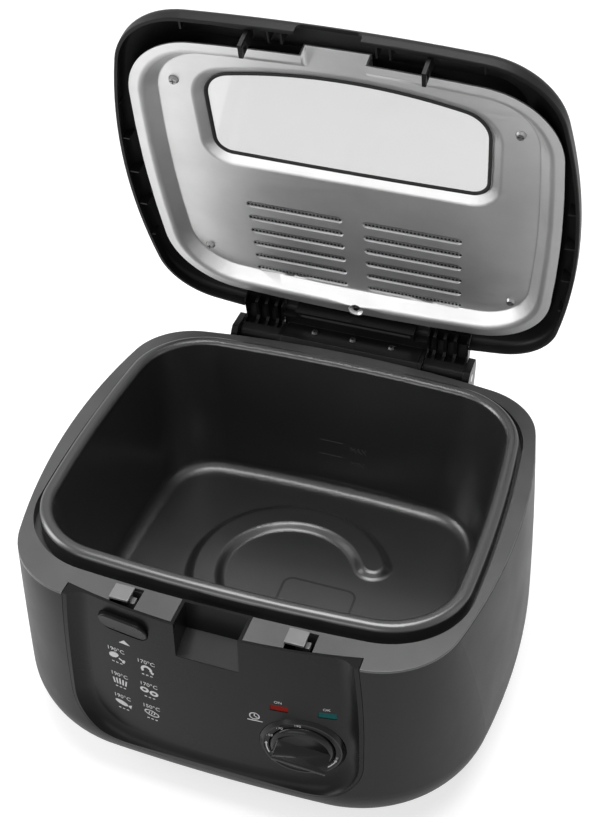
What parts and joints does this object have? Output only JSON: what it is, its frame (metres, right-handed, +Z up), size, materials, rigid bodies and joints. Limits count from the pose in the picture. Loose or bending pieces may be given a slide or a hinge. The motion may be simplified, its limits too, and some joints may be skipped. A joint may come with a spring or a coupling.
{
  "type": "deep fryer",
  "caption": "Rounded tub deep fryer with a fixed non-stick pot, a hinged lid with window and vent slots, a release button and a temperature knob.",
  "frame": {"origin": "middle of the whole object's plan, on the surface it stands on", "axes": "+X to the right, +Y to the back, +Z up; the control panel faces -Y"},
  "size_m": [0.3277, 0.3236, 0.4418],
  "materials": {
    "black_plastic": "satin",
    "panel_plastic": "satin",
    "nonstick": "satin non-stick coating",
    "aluminium": "satin",
    "window": "clear",
    "rubber": "matt",
    "steel": "bright",
    "red_lens": "translucent",
    "teal_lens": "translucent",
    "felt": "felt",
    "moulding": "moulded"
  },
  "bodies": {
    "housing": {"housing_shell": "black_plastic", "rim_ring": "black_plastic", "front_panel": "panel_plastic", "base_plate": "black_plastic", "base_screws": "steel", "rubber_feet": "rubber", "pot": "nonstick", "heating_element": "steel", "element_terminals": "moulding", "heat_shield": "aluminium", "shield_bolt": "steel", "thermostat_body": "moulding", "thermostat_sensor": "steel", "thermal_fuse": "moulding", "terminal_block": "moulding", "power_lens": "red_lens", "ready_lens": "teal_lens", "neon_lamps": "window", "knob_bezel": "panel_plastic", "hinge_bracket": "black_plastic", "hinge_pins": "steel", "hinge_springs": "steel", "hinge_screws": "steel", "cord_grommet": "rubber", "latch_guides": "black_plastic"},
    "lid": {"lid_shell": "black_plastic", "lid_inner_plate": "aluminium", "window_glass": "window", "window_gasket": "rubber", "filter_mesh": "steel", "filter_pad": "felt", "lid_screws": "steel", "lid_strikers": "black_plastic", "lid_hinge_arms": "black_plastic"},
    "knob": {"temperature_knob": "black_plastic", "thermostat_shaft": "steel"},
    "button": {"release_button": "black_plastic"},
    "latch": {"latch_bar": "black_plastic"}
  },
  "joints": [
    {"name": "lid_hinge", "type": "hinge", "parent": "housing", "child": "lid", "pos_m": [0, 0.14232, 0.1593], "axis": [1, 0, 0], "range_deg": [0, 70.4], "stiffness_Nm_per_rad": 0.3, "springref_deg": -85.94},
    {"name": "knob_turn", "type": "hinge", "parent": "housing", "child": "knob", "pos_m": [0.057, -0.14474, 0.0793], "axis": [0.1356, -0.989, -0.0593], "range_deg": [-250, 0]},
    {"name": "button_press", "type": "slide", "parent": "housing", "child": "button", "axis": [0, 1, 0], "range_m": [0, 0.003], "stiffness_N_per_m": 200, "springref_m": -0.002},
    {"name": "latch_slide", "type": "slide", "parent": "housing", "child": "latch", "axis": [-1, 0, 0], "range_m": [0, 0.0045], "stiffness_N_per_m": 200, "springref_m": -0.003}
  ],
  "couplings": [
    {"joint": "button_press", "follows": "latch_slide", "ratio": 0.666}
  ]
}
